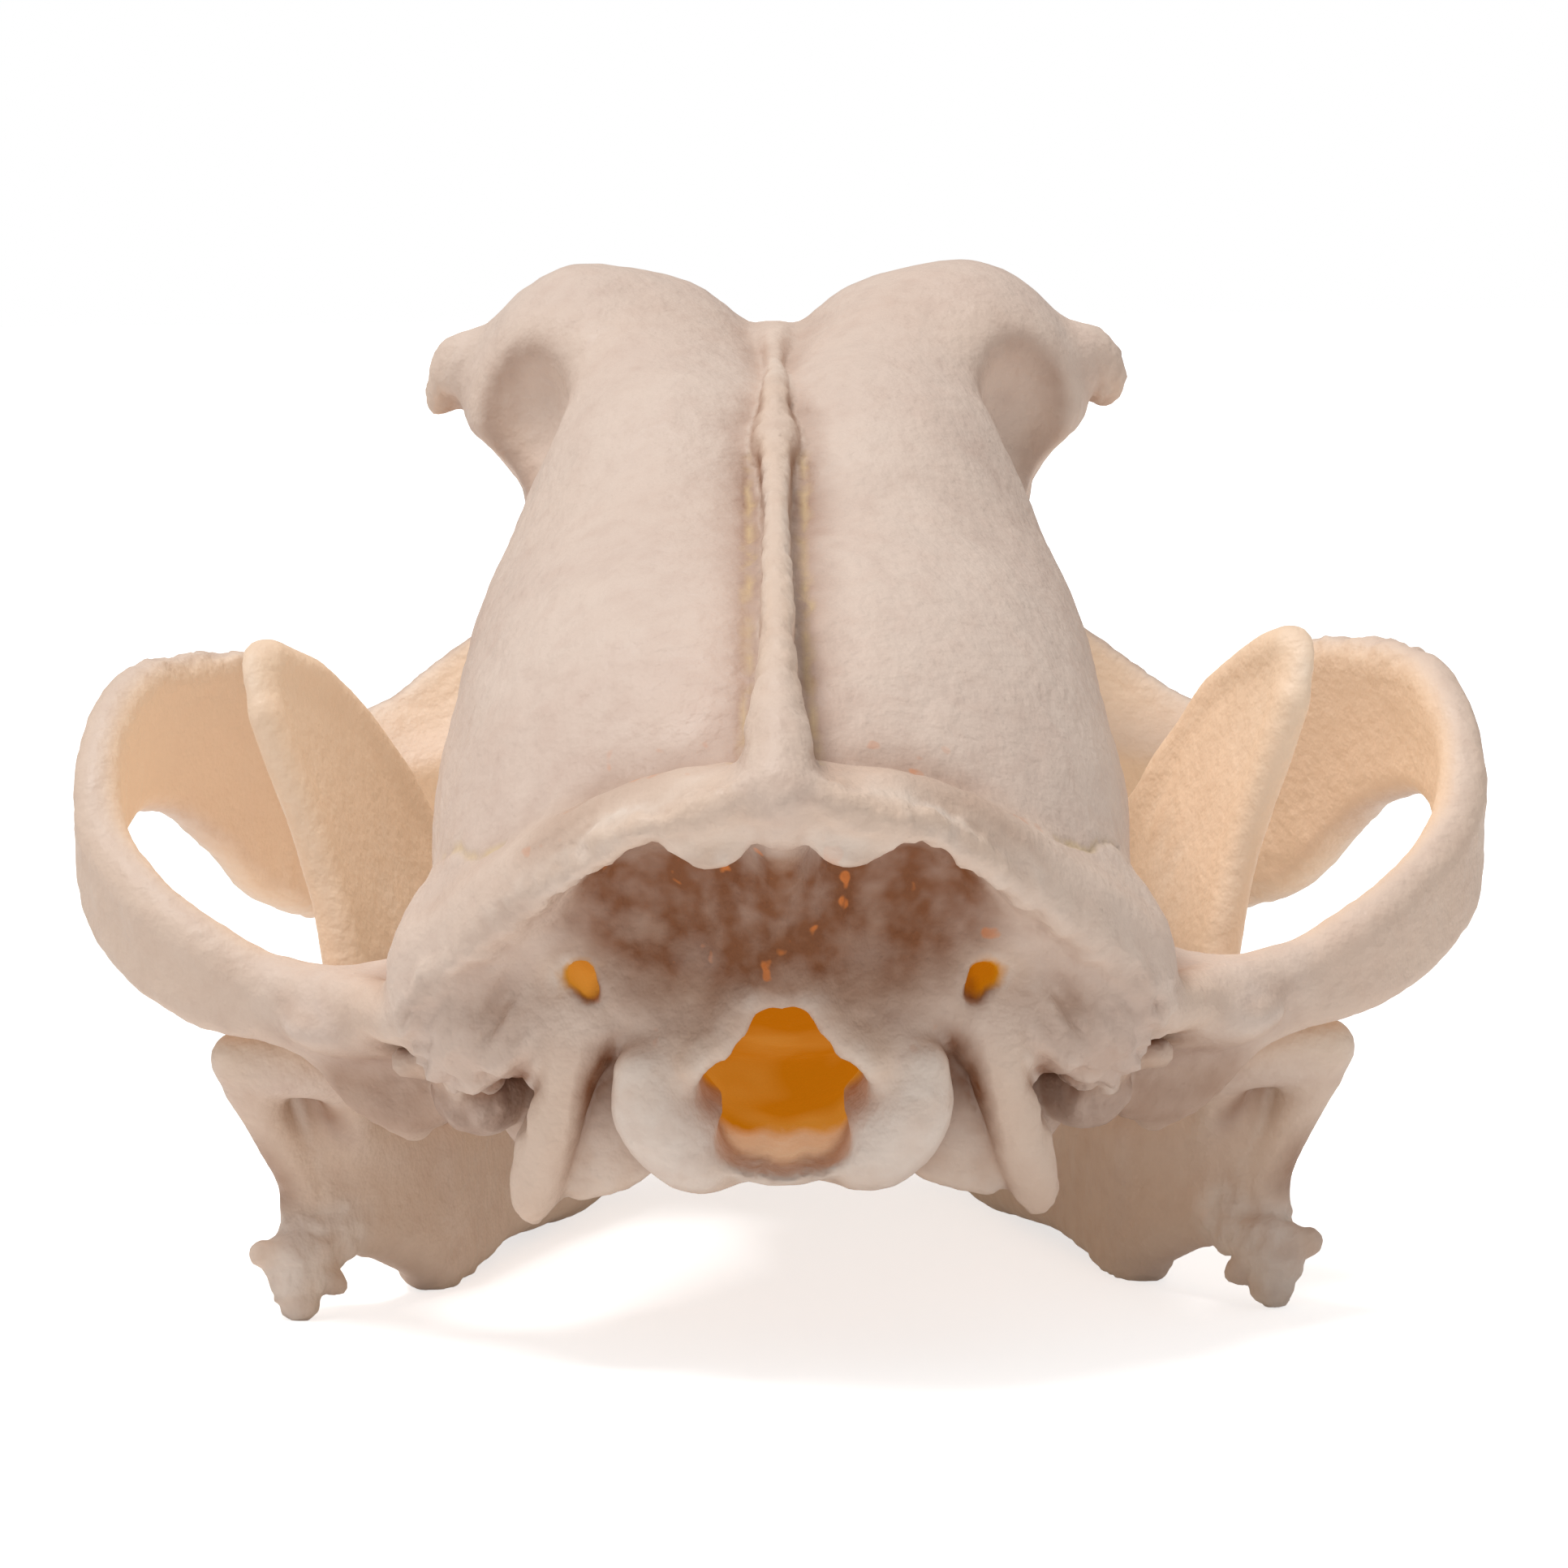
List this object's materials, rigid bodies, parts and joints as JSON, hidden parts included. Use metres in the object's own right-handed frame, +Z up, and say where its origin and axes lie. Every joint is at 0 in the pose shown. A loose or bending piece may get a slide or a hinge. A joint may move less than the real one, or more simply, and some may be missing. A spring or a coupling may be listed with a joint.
{
  "type": "dog skull",
  "caption": "Skull of a short-faced dog with wide cheek arches and its lower jaw in place, resting on the jaw.",
  "frame": {"origin": "on the floor, at the middle of the skull's outline seen from above", "axes": "+Y forward to the chin, +X to the skull's right, +Z up"},
  "size_m": [0.1326, 0.1788, 0.0977],
  "materials": {
    "cranium_bone": "dry bleached bone, off-white with a pink tint, finely porous",
    "face_bone_and_teeth": "dry bleached bone with ivory teeth",
    "arch_bone": "dry bone, warm peach where it is thin",
    "jaw_bone_and_teeth": "dry bone, pinkish and slightly wrinkled, with ivory teeth"
  },
  "bodies": {
    "root": {"braincase_roof": "cranium_bone", "braincase_base": "cranium_bone", "forehead": "cranium_bone", "snout": "face_bone_and_teeth", "cheek_arch_left": "arch_bone", "cheek_arch_right": "arch_bone", "jaw_left": "jaw_bone_and_teeth", "jaw_right": "jaw_bone_and_teeth"}
  },
  "joints": []
}
